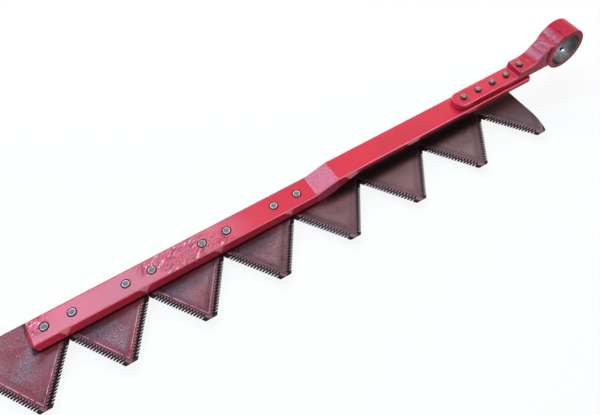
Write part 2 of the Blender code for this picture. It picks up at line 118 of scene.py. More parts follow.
def noise(tree, size, detail=2.0, roughness=0.5, where=None, distortion=0.0):
    """Noise whose blotches are about this size, in metres."""
    return add(
        tree,
        "ShaderNodeTexNoise",
        Vector=where or place_of(tree),
        Scale=1 / size,
        Detail=detail,
        Roughness=roughness,
        Distortion=distortion,
    )


def ramp(value, low, high, to_low=0.0, to_high=1.0):
    """A smooth step of a value between two levels, in the tree that the value's socket is in."""
    settings = {"interpolation_type": "SMOOTHSTEP"}
    levels = {"i1": low, "i2": high, "i3": to_low, "i4": to_high}
    return add(value.id_data, "ShaderNodeMapRange", settings, Value=value, **levels)


def blend(share, first, second):
    """A colour between two others, each a tuple or a socket that feeds it. The share is a socket."""
    first, second = [(*one, 1) if isinstance(one, tuple) else one for one in (first, second)]
    settings = {"data_type": "RGBA"}
    return add(share.id_data, "ShaderNodeMix", settings, out=2, i0=share, i6=first, i7=second)


def join(source, shader, name):
    source.id_data.links.new(source, shader.inputs[name])


def relief(shader, height, distance):
    """Bumps in a surface's shading, as if it rose and fell by this distance in metres."""
    bump = add(height.id_data, "ShaderNodeBump", Strength=1, Distance=distance, Height=height)
    join(bump, shader, "Normal")


BACK_STEEL = (0.10, 0.095, 0.095)
BACK_RUBBED = (0.17, 0.155, 0.15)
DRAW_MARK_SIZE = 0.02
DRAW_MARK_THIN = (1, 30, 30)
DRAW_MARK_RELIEF = 0.0001

back_finish, back_shader = new_finish("knife_back_steel", BACK_STEEL, 0.5, 0.7)
tree = back_finish.node_tree
drawn = noise(tree, DRAW_MARK_SIZE, 4, 0.6, stretched(tree, DRAW_MARK_THIN))
join(ramp(drawn, 0.35, 0.7, 0.38, 0.62), back_shader, "Roughness")
colour = blend(ramp(drawn, 0.4, 0.65), BACK_STEEL, BACK_RUBBED)
join(colour, back_shader, "Base Color")
relief(back_shader, drawn, DRAW_MARK_RELIEF)


def dress(node, finish):
    """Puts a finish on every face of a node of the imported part."""
    for holder in frame["nodes"][node].material_slots:
        holder.material = finish


dress("knife_back", back_finish)


# Sections
# Each is a plate of hardened steel with a blunt tip and two ground bevels, rolled with slanting grooves that
# make its teeth, shallower at the right. It is dipped in thin brown lacquer, ground off at the root's ends.

# The knife's own zero: the left side, the root line and the top face of the first section
SECTION_BACK = 0.036
SIDE_GAP = 0.00015
low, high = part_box("section_1")
knife_zero = Vector((low.x - SIDE_GAP, high.y - SECTION_BACK, high.z))

SECTION_PITCH = 0.0762
SECTION_COUNT = 8
SECTION_SIDE = SECTION_PITCH / 2 - SIDE_GAP
SECTION_THICKNESS = 0.003
SECTION_REACH = 0.0491
SHOULDER_RADIUS = 0.002
TIP_WIDTH = 0.0112
TIP_RADIUS = 0.0008
BEVEL_WIDTH = 0.0063
# Where the painted highlight line lies inside the cutting edge
HIGHLIGHT_LINE = 0.0069
EDGE_LAND = 0.0003
RUNOUT_START = 0.0055
RUNOUT_END = 0.0012
RUNOUT_SLOPE = math.radians(40)
ROUNDING = 0.0005
RIVET_SPREAD = 0.0508
RIVET_LINE = 0.015
RIVET_HOLE_RADIUS = 0.0033
TOOTH_COUNT = 17
TOOTH_PITCH = 0.00306
FIRST_GROOVE = 0.0047
GROOVE_TURN = math.radians(12)
LEFT_GROOVE_DEPTH = 0.0016
RIGHT_GROOVE_DEPTH = 0.0012
GROOVE_INSET = 0.0052
GROOVE_RUN_IN = 0.0008
GROOVE_FILL = 0.48
GROOVE_FLOOR = 0.15
GROOVE_OVER = 0.00005
CUT_BEYOND = 0.002
END_SIDE = 0.009
END_TIP = 0.0042
END_CURVE_START = 0.022
EDGE_ANGLE = math.atan2(SECTION_SIDE - TIP_WIDTH / 2, SECTION_REACH)

LACQUER = (0.118, 0.060, 0.064)
LACQUER_RED = (0.240, 0.028, 0.040)
# Dark for the lacquer's stains, and for the painted shade in the corner by the bar
LACQUER_STAIN_AND_SHADE = (0.055, 0.026, 0.030)
LACQUER_GREY = (0.215, 0.078, 0.086)
LACQUER_END = (0.138, 0.086, 0.092)
LACQUER_RUBBED = (0.31, 0.150, 0.160)
GRIT_LIGHT = (0.37, 0.19, 0.20)
BEVEL_BROWN = (0.310, 0.150, 0.162)
BEVEL_MAUVE = (0.38, 0.195, 0.215)
EDGE_DARK = (0.030, 0.016, 0.019)
# Painted shadow along the bar's foot and over the root under the raised strip
FOOT_SHADE = (0.014, 0.007, 0.009)
LINE_HIGHLIGHT = (0.58, 0.28, 0.27)
GROUND_STEEL = (0.13, 0.11, 0.105)
GROOVE_DARK = (0.012, 0.005, 0.007)
GROOVE_STREAK = (0.030, 0.014, 0.018)

CLOUD_SIZE = 0.028
BLOTCH_SIZE = 0.008
GRIT_SIZE = 0.0013
GRIT_RELIEF = 0.0006
LINE_BREAK_SIZE = 0.004
STREAK_SIZE = 0.0008

# Along the knife, counted in sections from its left end: from where to where a look comes in, or over which
# stretch it holds (start, full, last, gone)
RED_COMES = (4.2, 1.5)
UNEVEN_COMES = (5.0, 3.6)
LINE_COMES = (3.8, 2.2)
END_LOOK_COMES = (4.2, 6.8)
MAUVE_COMES = (3.2, 4.2)
LEFT_END_RUBBED = (0.35, 0.05)
SHADED_CORNERS = (0.95, 1.1, 3.8, 4.4)
UNDER_BAR = (0.57, 0.60, 4.3, 4.6)
UNDER_STRIP = (4.3, 4.6, 6.9, 7.1)

# Across one section, from 0 at its left side to 1 at its right
LEFT_CORNER_SHADE = (0.75, 0.30)
RIGHT_RUBBED = (0.55, 0.85)
RIGHT_HALF = (0.48, 0.52)

# From the root line, with the tips at minus
CORNER_SHADE = (-0.022, -0.006)
FOOT_SHADE_LINE = (-0.0006, 0.0018)
ROOT_SHADE = (-0.011, -0.001)
ROOT_GROUND = (-0.0065, -0.0030)
TIP_DULL = (-0.044, -0.030)

# Inside the nearer cutting edge
MIDDLE_COMES = (BEVEL_WIDTH + 0.001, BEVEL_WIDTH + 0.009)
BEVEL_COMES = (BEVEL_WIDTH, BEVEL_WIDTH - 0.002)
BEVEL_DULL = (0.0052, 0.0030)
SIDE_GROUND = (0.0070, 0.0050)
BARBS_COME = (0.0039, 0.0024)
BARBS_DEEPER_RIGHT = 0.0009
BARBS_LESS_AT_END = 0.0003
LINE_HALF_WIDTH = (0.0006, 0.0002)


def times(first, *others):
    """The product of a socket and one or more values."""
    for other in others:
        first = work(first.id_data, "MULTIPLY", first, other)
    return first


def stretch(value, start, full, last, gone, share=1.0):
    """A share that holds over a stretch of a value, and fades to nothing at both its ends."""
    return times(ramp(value, start, full, 0, share), ramp(value, gone, last))


lacquer, lacquer_shader = new_finish("section_lacquer", LACQUER, 0.3, 0.5)
tree = lacquer.node_tree
spot = add(tree, "ShaderNodeSeparateXYZ", Vector=place_of(tree))
along = work(tree, "DIVIDE", work(tree, "SUBTRACT", spot, knife_zero.x), SECTION_PITCH)
across = work(tree, "FRACT", along)
aside = times(work(tree, "ABSOLUTE", work(tree, "SUBTRACT", across, 0.5)), SECTION_PITCH)
from_root = work(tree, "SUBTRACT", spot.node.outputs["Y"], knife_zero.y)
from_side = times(work(tree, "SUBTRACT", SECTION_SIDE, aside), math.cos(EDGE_ANGLE))
inside_edge = work(tree, "MULTIPLY_ADD", from_root, math.sin(EDGE_ANGLE), from_side)
middle = ramp(inside_edge, *MIDDLE_COMES)
uneven = ramp(along, *UNEVEN_COMES, 0.35, 1)

# Red and dark where the lacquer pooled, grey with light grit in the middle
cloud = noise(tree, CLOUD_SIZE, 3, 0.5)
blotch = noise(tree, BLOTCH_SIZE, 4, 0.6)
grit = noise(tree, GRIT_SIZE, 2, 0.6)
pooled = times(ramp(middle, 0.8, 0), ramp(blotch, 0.70, 0.50, 0.4, 1))
redder = work(tree, "MAXIMUM", ramp(cloud, 0.38, 0.58, 0, 0.7), pooled)
redder = times(ramp(along, *RED_COMES), redder)
colour = blend(redder, LACQUER, LACQUER_RED)
stain = times(ramp(blotch, 0.50, 0.70, 0, 0.6), uneven)
colour = blend(stain, colour, LACQUER_STAIN_AND_SHADE)
mottle = times(middle, ramp(cloud, 0.66, 0.38))
colour = blend(times(mottle, 0.65), colour, LACQUER_GREY)
specks = times(ramp(grit, 0.56, 0.70), ramp(mottle, 0, 1, 0.35, 0.8), uneven)
colour = blend(specks, colour, GRIT_LIGHT)
colour = blend(ramp(along, *END_LOOK_COMES, 0, 0.9), colour, LACQUER_END)

# Painted shade in the corner by the bar, where its shadow falls, and rubbed lighter at the right
corner = times(
    ramp(across, *LEFT_CORNER_SHADE),
    ramp(from_root, *CORNER_SHADE),
    stretch(along, *SHADED_CORNERS),
)
# The corner's painted shade takes the stains' dark colour
colour = blend(times(corner, 0.6), colour, LACQUER_STAIN_AND_SHADE)
left_end = ramp(along, *LEFT_END_RUBBED, 0, 0.3)
rubbed = work(tree, "MAXIMUM", ramp(across, *RIGHT_RUBBED, 0, 0.24), left_end)
colour = blend(rubbed, colour, LACQUER_RUBBED)

# Bare at the root's ends, lighter on the bevels, dark between the barbs, with a painted highlight line above
# them
bared = times(ramp(from_root, *ROOT_GROUND), ramp(inside_edge, *SIDE_GROUND))
colour = blend(times(bared, 0.85), colour, GROUND_STEEL)
bevel_colour = blend(ramp(along, *MAUVE_COMES), BEVEL_BROWN, BEVEL_MAUVE)
colour = blend(ramp(inside_edge, *BEVEL_COMES, 0, 0.85), colour, bevel_colour)
deeper_right = ramp(across, *RIGHT_HALF, 0, BARBS_DEEPER_RIGHT)
barb = work(tree, "SUBTRACT", inside_edge, deeper_right)
barb = work(tree, "ADD", barb, ramp(along, *MAUVE_COMES, 0, BARBS_LESS_AT_END))
colour = blend(ramp(barb, *BARBS_COME, 0, 0.97), colour, EDGE_DARK)
# A painted highlight: a thin bright broken line inside each cutting edge, strongest on the left sections
from_line = work(tree, "ABSOLUTE", work(tree, "SUBTRACT", inside_edge, HIGHLIGHT_LINE))
worn = times(
    ramp(from_line, *LINE_HALF_WIDTH),
    ramp(noise(tree, LINE_BREAK_SIZE), 0.32, 0.55),
    ramp(along, *LINE_COMES, 0.15, 0.75),
)
colour = blend(worn, colour, LINE_HIGHLIGHT)

# Painted shadow: a dark line along the bar's foot, and shade over the root where the raised strip leaves it
# open
foot = times(ramp(from_root, *FOOT_SHADE_LINE), stretch(along, *UNDER_BAR), 0.9)
open_root_shade = times(stretch(along, *UNDER_STRIP), ramp(from_root, *ROOT_SHADE, 0, 0.8))
colour = blend(work(tree, "MAXIMUM", foot, open_root_shade), colour, FOOT_SHADE)
join(colour, lacquer_shader, "Base Color")

join(ramp(cloud, 0.35, 0.65, 0.27, 0.32), lacquer_shader, "Roughness")
on_bevel = times(ramp(inside_edge, *BEVEL_DULL), 0.2)
bright = work(tree, "SUBTRACT", ramp(middle, 0, 1, 0.24, 0.48), on_bevel)
bright = times(bright, ramp(from_root, *TIP_DULL, 0.55, 1))
join(bright, lacquer_shader, "Metallic")
join(ramp(middle, 0, 1, 0.05, 0.18), lacquer_shader, "Specular IOR Level")
rough = times(grit, ramp(middle, 0, 1, 0.10, 1.0), uneven)
relief(lacquer_shader, rough, GRIT_RELIEF)

# Dark scale in the grooves, made darker still as painted shade for their shadowed walls
groove_finish, groove_shader = new_finish("groove_scale", GROOVE_DARK, 0.7)
groove_shader.inputs["Specular IOR Level"].default_value = 0.08
tree = groove_finish.node_tree
streaks = ramp(noise(tree, STREAK_SIZE, 3), 0.4, 0.7)
join(blend(streaks, GROOVE_DARK, GROOVE_STREAK), groove_shader, "Base Color")


def mesh_from(name, bm):
    bmesh.ops.recalc_face_normals(bm, faces=bm.faces)
    mesh = bpy.data.meshes.new(name)
    bm.to_mesh(mesh)
    bm.free()
    return mesh


def new_object(name, data):
    made = bpy.data.objects.new(name, data)
    bpy.context.scene.collection.objects.link(made)
    return made


def finished_mesh(made):
    """The plain mesh that an object's modifiers give, with its object removed."""
    bpy.context.view_layer.update()
    graph = bpy.context.evaluated_depsgraph_get()
    mesh = bpy.data.meshes.new_from_object(made.evaluated_get(graph))
    bpy.data.objects.remove(made, do_unlink=True)
    return mesh


def cut(made, cutter, operation="DIFFERENCE"):
    """A Boolean whose cut faces keep the cutter's own material."""
    modifier = made.modifiers.new(cutter.name, "BOOLEAN")
    modifier.operation = operation
    modifier.solver = "EXACT"
    modifier.material_mode = "TRANSFER"
    modifier.object = cutter


def rounded(corners, steps=6):
    """The points of an outline whose corners are (a, b) when sharp and (a, b, radius) when rounded."""
    points = []
    for place, corner in enumerate(corners):
        here = Vector(corner[:2])
        if len(corner) == 2:
            points.append(here)
            continue
        before = (Vector(corners[place - 1][:2]) - here).normalized()
        after = (Vector(corners[(place + 1) % len(corners)][:2]) - here).normalized()
        half = before.angle(after) / 2
        centre = here + (before + after).normalized() * (corner[2] / math.sin(half))
        start = here + before * (corner[2] / math.tan(half)) - centre
        end = here + after * (corner[2] / math.tan(half)) - centre
        turn = math.atan2(start.cross(end), start.dot(end))
        for step in range(steps + 1):
            angle = math.atan2(start.y, start.x) + turn * step / steps
            points.append(centre + corner[2] * Vector((math.cos(angle), math.sin(angle))))
    return points


def skin(bm, rings):
    """Closes a solid over rings of points: its two ends, and the walls between them."""
    bm.faces.new(rings[0])
    bm.faces.new(rings[-1])
    for near, far in zip(rings, rings[1:]):
        for place in range(len(near)):
            after = (place + 1) % len(near)
            bm.faces.new((near[place], near[after], far[after], far[place]))


def slab(outline, low, high, upright="Z"):
    """A solid of an outline: (x, y) points between two heights, or (x, z) points between two depths."""
    bm = bmesh.new()
    rings = []
    for level in (low, high):
        corners = [(a, b, level) if upright == "Z" else (a, level, b) for a, b in outline]
        rings.append([bm.verts.new(corner) for corner in corners])
    skin(bm, rings)
    return bm


def trim(bm, point, normal):
    """Cuts a convex mesh by a plane, and keeps what lies behind it."""
    bmesh.ops.bisect_plane(
        bm,
        geom=bm.verts[:] + bm.edges[:] + bm.faces[:],
        plane_co=point,
        plane_no=normal,
        clear_outer=True,
    )
    bmesh.ops.holes_fill(bm, edges=bm.edges, sides=0)


# The way out of the right cutting edge, the bevel's fall towards it, and the way up from the bevel
EDGE_OUT = Vector((math.cos(EDGE_ANGLE), -math.sin(EDGE_ANGLE), 0))
BEVEL_FALL = (SECTION_THICKNESS - EDGE_LAND) / BEVEL_WIDTH
BEVEL_UP = EDGE_OUT * BEVEL_FALL + Vector((0, 0, 1))


def edge_point(along, inset):
    """The plan point this far along the right cutting edge from the root, and this far inside it."""
    forward = Vector((-math.sin(EDGE_ANGLE), -math.cos(EDGE_ANGLE)))
    inward = Vector((-math.cos(EDGE_ANGLE), math.sin(EDGE_ANGLE)))
    return Vector((SECTION_SIDE, 0)) + forward * along + inward * inset


def mirrored(bm, side):
    """The same mesh for the right edge, and its mirror image for the left."""
    if side < 0:
        bmesh.ops.scale(bm, vec=(-1, 1, 1), verts=bm.verts)
    return bm


def bevel_cutter(name, side):
    """All that is above the bevel of one cutting edge and above its run-out."""
    bm = bmesh.new()
    bmesh.ops.create_cube(bm, size=4 * SECTION_REACH)
    trim(bm, (*edge_point(0, BEVEL_WIDTH), 0), -BEVEL_UP)
    start = edge_point(RUNOUT_START / math.cos(EDGE_ANGLE), BEVEL_WIDTH)
    run = (Vector((SECTION_SIDE, -RUNOUT_END)) - start).normalized()
    above_runout = Vector((run.y, -run.x, 0)) * math.tan(RUNOUT_SLOPE) + Vector((0, 0, 1))
    trim(bm, (*start, 0), -above_runout)
    return new_object(name, mesh_from(name, mirrored(bm, side)))


def groove_cutter(name, side, depth):
    """What one groove takes out: a flat-bottomed V in the bevel, at the edge's root end."""
    up = BEVEL_UP.normalized()
    along = Vector((math.cos(GROOVE_TURN), math.sin(GROOVE_TURN) * side, 0))
    inset = GROOVE_INSET / along.dot(EDGE_OUT)
    along.z = -along.dot(EDGE_OUT) * BEVEL_FALL
    across = up.cross(along).normalized()
    edge_way = (edge_point(TOOTH_PITCH, 0) - edge_point(0, 0)).to_3d()
    half_width = abs(edge_way.dot(across)) * GROOVE_FILL / 2
    half_floor = half_width * GROOVE_FLOOR
    edge = edge_point(FIRST_GROOVE, 0).to_3d()
    edge.z = EDGE_LAND - SECTION_THICKNESS
    bm = bmesh.new()
    rings = []
    for inside, floor in (
        (-2 * CUT_BEYOND, -depth),
        (inset - GROOVE_RUN_IN, -depth),
        (inset, GROOVE_OVER),
    ):
        shape = (
            (-half_floor, floor),
            (half_floor, floor),
            (half_width, GROOVE_OVER),
            (half_width, CUT_BEYOND),
            (-half_width, CUT_BEYOND),
            (-half_width, GROOVE_OVER),
        )
        start = edge - along * inside
        rings.append([bm.verts.new(start + across * a + up * b) for a, b in shape])
    skin(bm, rings)
    return new_object(name, mesh_from(name, mirrored(bm, side)))


def new_geometry_tree(name, **inputs):
    """A tree for a modifier, with named inputs of these kinds beside its geometry."""
    tree = bpy.data.node_groups.new(name, "GeometryNodeTree")
    tree.is_modifier = True
    tree.interface.new_socket("Geometry", in_out="INPUT", socket_type="NodeSocketGeometry")
    tree.interface.new_socket("Geometry", in_out="OUTPUT", socket_type="NodeSocketGeometry")
    for given, kind in inputs.items():
        given = given.replace("_", " ")
        tree.interface.new_socket(given, in_out="INPUT", socket_type="NodeSocket" + kind)
    return tree


def grow(made, tree, **values):
    """Puts a geometry tree on an object, with its named inputs set."""
    modifier = made.modifiers.new(tree.name, "NODES")
    modifier.node_group = tree
    for name, value in values.items():
        socket = tree.interface.items_tree[name.replace("_", " ")]
        modifier[socket.identifier] = value


# The grooves of one edge: one cutter repeated along it
serration = new_geometry_tree(
    "serration",
    Groove="Object",
    Grooves="Int",
    Step="Vector",
    Groove_finish="Material",
    Plate_finish="Material",
)
given = serration.nodes.new("NodeGroupInput").outputs
row = add(serration, "GeometryNodeMeshLine", Count=given["Grooves"], Offset=given["Step"])
groove = add(serration, "GeometryNodeObjectInfo", out="Geometry", Object=given["Groove"])
row = add(serration, "GeometryNodeInstanceOnPoints", Points=row, Instance=groove)
row = add(serration, "GeometryNodeRealizeInstances", Geometry=row)
row = add(serration, "GeometryNodeSetMaterial", Geometry=row, Material=given["Groove finish"])
exact_cut = {"operation": "DIFFERENCE", "solver": "EXACT"}
plate = add(serration, "GeometryNodeMeshBoolean", exact_cut, i0=given["Geometry"], i1=row)
plate = add(serration, "GeometryNodeRealizeInstances", Geometry=plate)
on_plate = add(serration, "GeometryNodeMaterialSelection", Material=given["Plate finish"])
plate = add(
    serration,
    "GeometryNodeSetMaterial",
    Geometry=plate,
    Selection=on_plate,
    Material=given["Plate finish"],
)
serration.links.new(plate, serration.nodes.new("NodeGroupOutput").inputs[0])

bevels = [bevel_cutter("left_bevel", -1), bevel_cutter("right_bevel", 1)]
grooves = [
    groove_cutter("left_groove", -1, LEFT_GROOVE_DEPTH),
    groove_cutter("right_groove", 1, RIGHT_GROOVE_DEPTH),
]
groove_step = edge_point(TOOTH_PITCH, 0) - edge_point(0, 0)

# Two points nearer than this are one point, and two faces that turn less are one face
SAME_PLACE = 1e-6
SAME_FACE_TURN = 0.002
BEVEL_LINE_TURN = (math.radians(10), math.radians(60))


def round_bevel_line(mesh):
    """Rounds the line where the top face turns into the bevels."""
    bm = bmesh.new()
    bm.from_mesh(mesh)
    bmesh.ops.remove_doubles(bm, verts=bm.verts, dist=SAME_PLACE)
    bmesh.ops.dissolve_limit(bm, angle_limit=SAME_FACE_TURN, verts=bm.verts, edges=bm.edges)
    least, most = BEVEL_LINE_TURN
    lines = [
        edge
        for edge in bm.edges
        if len(edge.link_faces) == 2
        and all(abs(end.co.z) < SAME_PLACE for end in edge.verts)
        and least < edge.calc_face_angle() < most
    ]
    bmesh.ops.bevel(bm, geom=lines, offset=ROUNDING, segments=4, profile=0.5, affect="EDGES")
    bm.to_mesh(mesh)
    bm.free()


def cylinder(name, at, radius, low, high, finish=None, sides=48):
    """An upright cylinder at (x, y), used as a cutter."""
    bm = bmesh.new()
    bmesh.ops.create_cone(
        bm,
        cap_ends=True,
        segments=sides,
        radius1=radius,
        radius2=radius,
        depth=high - low,
        matrix=Matrix.Translation((*at, (low + high) / 2)),
    )
    mesh = mesh_from(name, bm)
    if finish:
        mesh.materials.append(finish)
    return new_object(name, mesh)


def drill(made, name, xs, radius, low, high, finish=None, sides=48):
    """Cuts a hole at each of these places on the rivets' line."""
    for number, x in enumerate(xs):
        cut(made, cylinder(f"{name}_{number}", (x, RIVET_LINE), radius, low, high, finish, sides))


def section_mesh(name, outline, edges, rivets):
    """A finished section with one or two cutting edges, drawn about its own middle line."""
    blank = mesh_from(name, slab(rounded(outline), -SECTION_THICKNESS, 0))
    blank.materials.append(lacquer)
    made = new_object(name, blank)
    for cutter in bevels[:edges]:
        cut(made, cutter)
    ground = finished_mesh(made)
    round_bevel_line(ground)
    made = new_object(name, ground)
    hole_end = 2 * SECTION_THICKNESS
    drill(made, f"{name}_hole", rivets, RIVET_HOLE_RADIUS, -hole_end, hole_end, sides=24)
    for cutter, way in list(zip(grooves, (-1, 1)))[:edges]:
        grow(
            made,
            serration,
            Groove=cutter,
            Grooves=TOOTH_COUNT,
            Step=(groove_step.x * way, groove_step.y, 0),
            Groove_finish=groove_finish,
            Plate_finish=lacquer,
        )
    mesh = finished_mesh(made)
    mesh.shade_smooth()
    mesh.set_sharp_from_angle(angle=math.radians(20))
    return mesh


left_outline = [
    (-SECTION_SIDE, SECTION_BACK),
    (-SECTION_SIDE, 0, SHOULDER_RADIUS),
    (-TIP_WIDTH / 2, -SECTION_REACH, TIP_RADIUS),
]
full_section = section_mesh(
    "full_section",
    left_outline
    + [
        (TIP_WIDTH / 2, -SECTION_REACH, TIP_RADIUS),
        (SECTION_SIDE, 0, SHOULDER_RADIUS),
        (SECTION_SIDE, SECTION_BACK),
    ],
    2,
    (-RIVET_SPREAD / 2, RIVET_SPREAD / 2),
)

# The end section's plain side ends in an arc that starts straight and meets the end of the tip
end_drop = SECTION_REACH - END_CURVE_START
end_in = END_SIDE - END_TIP
end_radius = (end_in**2 + end_drop**2) / (2 * end_in)
end_turn = math.asin(end_drop / end_radius)
ARC_STEPS = 16
end_arc = [
    (
        END_SIDE - end_radius + end_radius * math.cos(end_turn * step / ARC_STEPS),
        -END_CURVE_START - end_radius * math.sin(end_turn * step / ARC_STEPS),
    )
    for step in range(ARC_STEPS, -1, -1)
]
end_section = section_mesh(
    "end_section_mesh", left_outline + end_arc + [(END_SIDE, SECTION_BACK)], 1, (-RIVET_SPREAD / 2, 0)
)


def new_piece(name, mesh, slot, *nodes, at=(0, 0, 0)):
    """A finished piece, moved from the knife's own zero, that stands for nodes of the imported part."""
    mesh.transform(Matrix.Translation(knife_zero + Vector(at)))
    piece = new_object(name, mesh)
    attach(piece, "root")
    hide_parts(*nodes)
    return piece


for number in range(1, SECTION_COUNT + 1):
    x = SECTION_PITCH * (number - 0.5)
    if number < SECTION_COUNT:
        node, mesh = f"section_{number}", full_section.copy()
    else:
        node, mesh = "end_section", end_section
    new_piece(f"lacquered_{node}", mesh, "section_lacquer", node, at=(x, 0, 0))


# Head bar
# A forged strip of steel, thick where it is riveted on the sections and joggled up to a thinner part that
# clears them. It is sprayed with crimson enamel, which has wrinkled in places and pooled along the edges,
# with painted highlights and shade.

BAR_START = 0.0448
BAR_END = 0.5985
BAR_WIDTH = 0.0254
BAR_UNDER = 0.0003
BAR_TOP = 0.0123
BAR_END_LEAN = 0.0056
BAR_CORNER_BACK = 0.0062
BAR_CORNER_SIDE = 0.0079
BAR_CORNER_RADIUS = 0.003
BAR_EDGE = 0.0012
BAR_CORNER_STEPS = 8
STRIP_CLEAR = 0.0133
STRIP_TOP = 0.0193
JOGGLE_START = 0.333
JOGGLE_LENGTH = 0.024
JOGGLE_UNDER_START = 0.345
JOGGLE_UNDER_LENGTH = 0.037
UNDER_BEND_RADIUS = 0.04
JOGGLE_RADIUS = 0.004
SPOT_RADIUS = 0.0047
SPOT_DEPTH = 0.0008

# The long rivets stand in pairs, one on each side of a joint between two sections
JOINT_GAP = SECTION_PITCH - RIVET_SPREAD
FIRST_LONG_RIVET = (SECTION_PITCH + RIVET_SPREAD) / 2
LONG_PAIRS = 4
LONG_RIVETS = [
    FIRST_LONG_RIVET + pair * SECTION_PITCH + gap
    for pair in range(LONG_PAIRS)
    for gap in (0, JOINT_GAP)
]
HEAD_RIVET_HOLE = 0.0028
FIRST_HEAD_RIVET = 0.5175
HEAD_PITCH = 0.0185
NECK_RIVET = 0.589
HEAD_RIVETS = [FIRST_HEAD_RIVET + HEAD_PITCH * number for number in range(4)] + [NECK_RIVET]

ENAMEL = (0.83, 0.030, 0.060)
# Painted highlights on the front edges and the ridges, and a painted reflection on the ripples
RIM_HIGHLIGHT_PINK = (0.95, 0.30, 0.38)
CREST_HIGHLIGHT_PINK = (0.90, 0.50, 0.62)
RIPPLE_REFLECTION_LILAC = (0.66, 0.14, 0.24)

PEEL_SIZE = 0.0024
SWELL_SIZE = 0.014
FOLD_SIZE = 0.0022
FOLD_LONG = (3.2, 1, 1)
CREASE_LEAN = math.radians(30)
PATCH_SIZE = 0.005
RIDGE_SIZE = 0.003
THIN_SIZE = 0.05
RIPPLE_END = 0.002
PAINT_RELIEF = 0.0003

# How far a face looks up: the front's level, and the top's
FRONT_TO_TOP = (0.3, 0.8)
# The way that the rounded edge between front and top looks, and how near a face comes to it
RIM_WAY = (0, -0.707, 0.707)
RIM_COMES = (0.80, 0.97)
# Along the knife: where the front's gloss comes in, and where the ring's duller enamel ends
FRONT_GLOSS_COMES = (0.52, 0.46)
RING_DULL_ENDS = (0.634, 0.626)

# Creased places as (x, y, z, reach), ripples as (start, end, size), and deeper colour as (start, full, last,
# gone, share)
BAR_CREASES = (
    (0.058, 0.020, BAR_TOP, 0.014),
    (0.162, 0.020, BAR_TOP, 0.012),
    (0.186, 0.015, BAR_TOP, 0.022),
    (0.208, 0.015, BAR_TOP, 0.022),
    (0.232, 0.010, BAR_TOP, 0.014),
)
BAR_RIPPLES = (JOGGLE_START, JOGGLE_START + JOGGLE_LENGTH + RIPPLE_END, 0.0014)
BAR_DEEPER = (0.098, 0.125, 0.205, 0.235, 0.5)


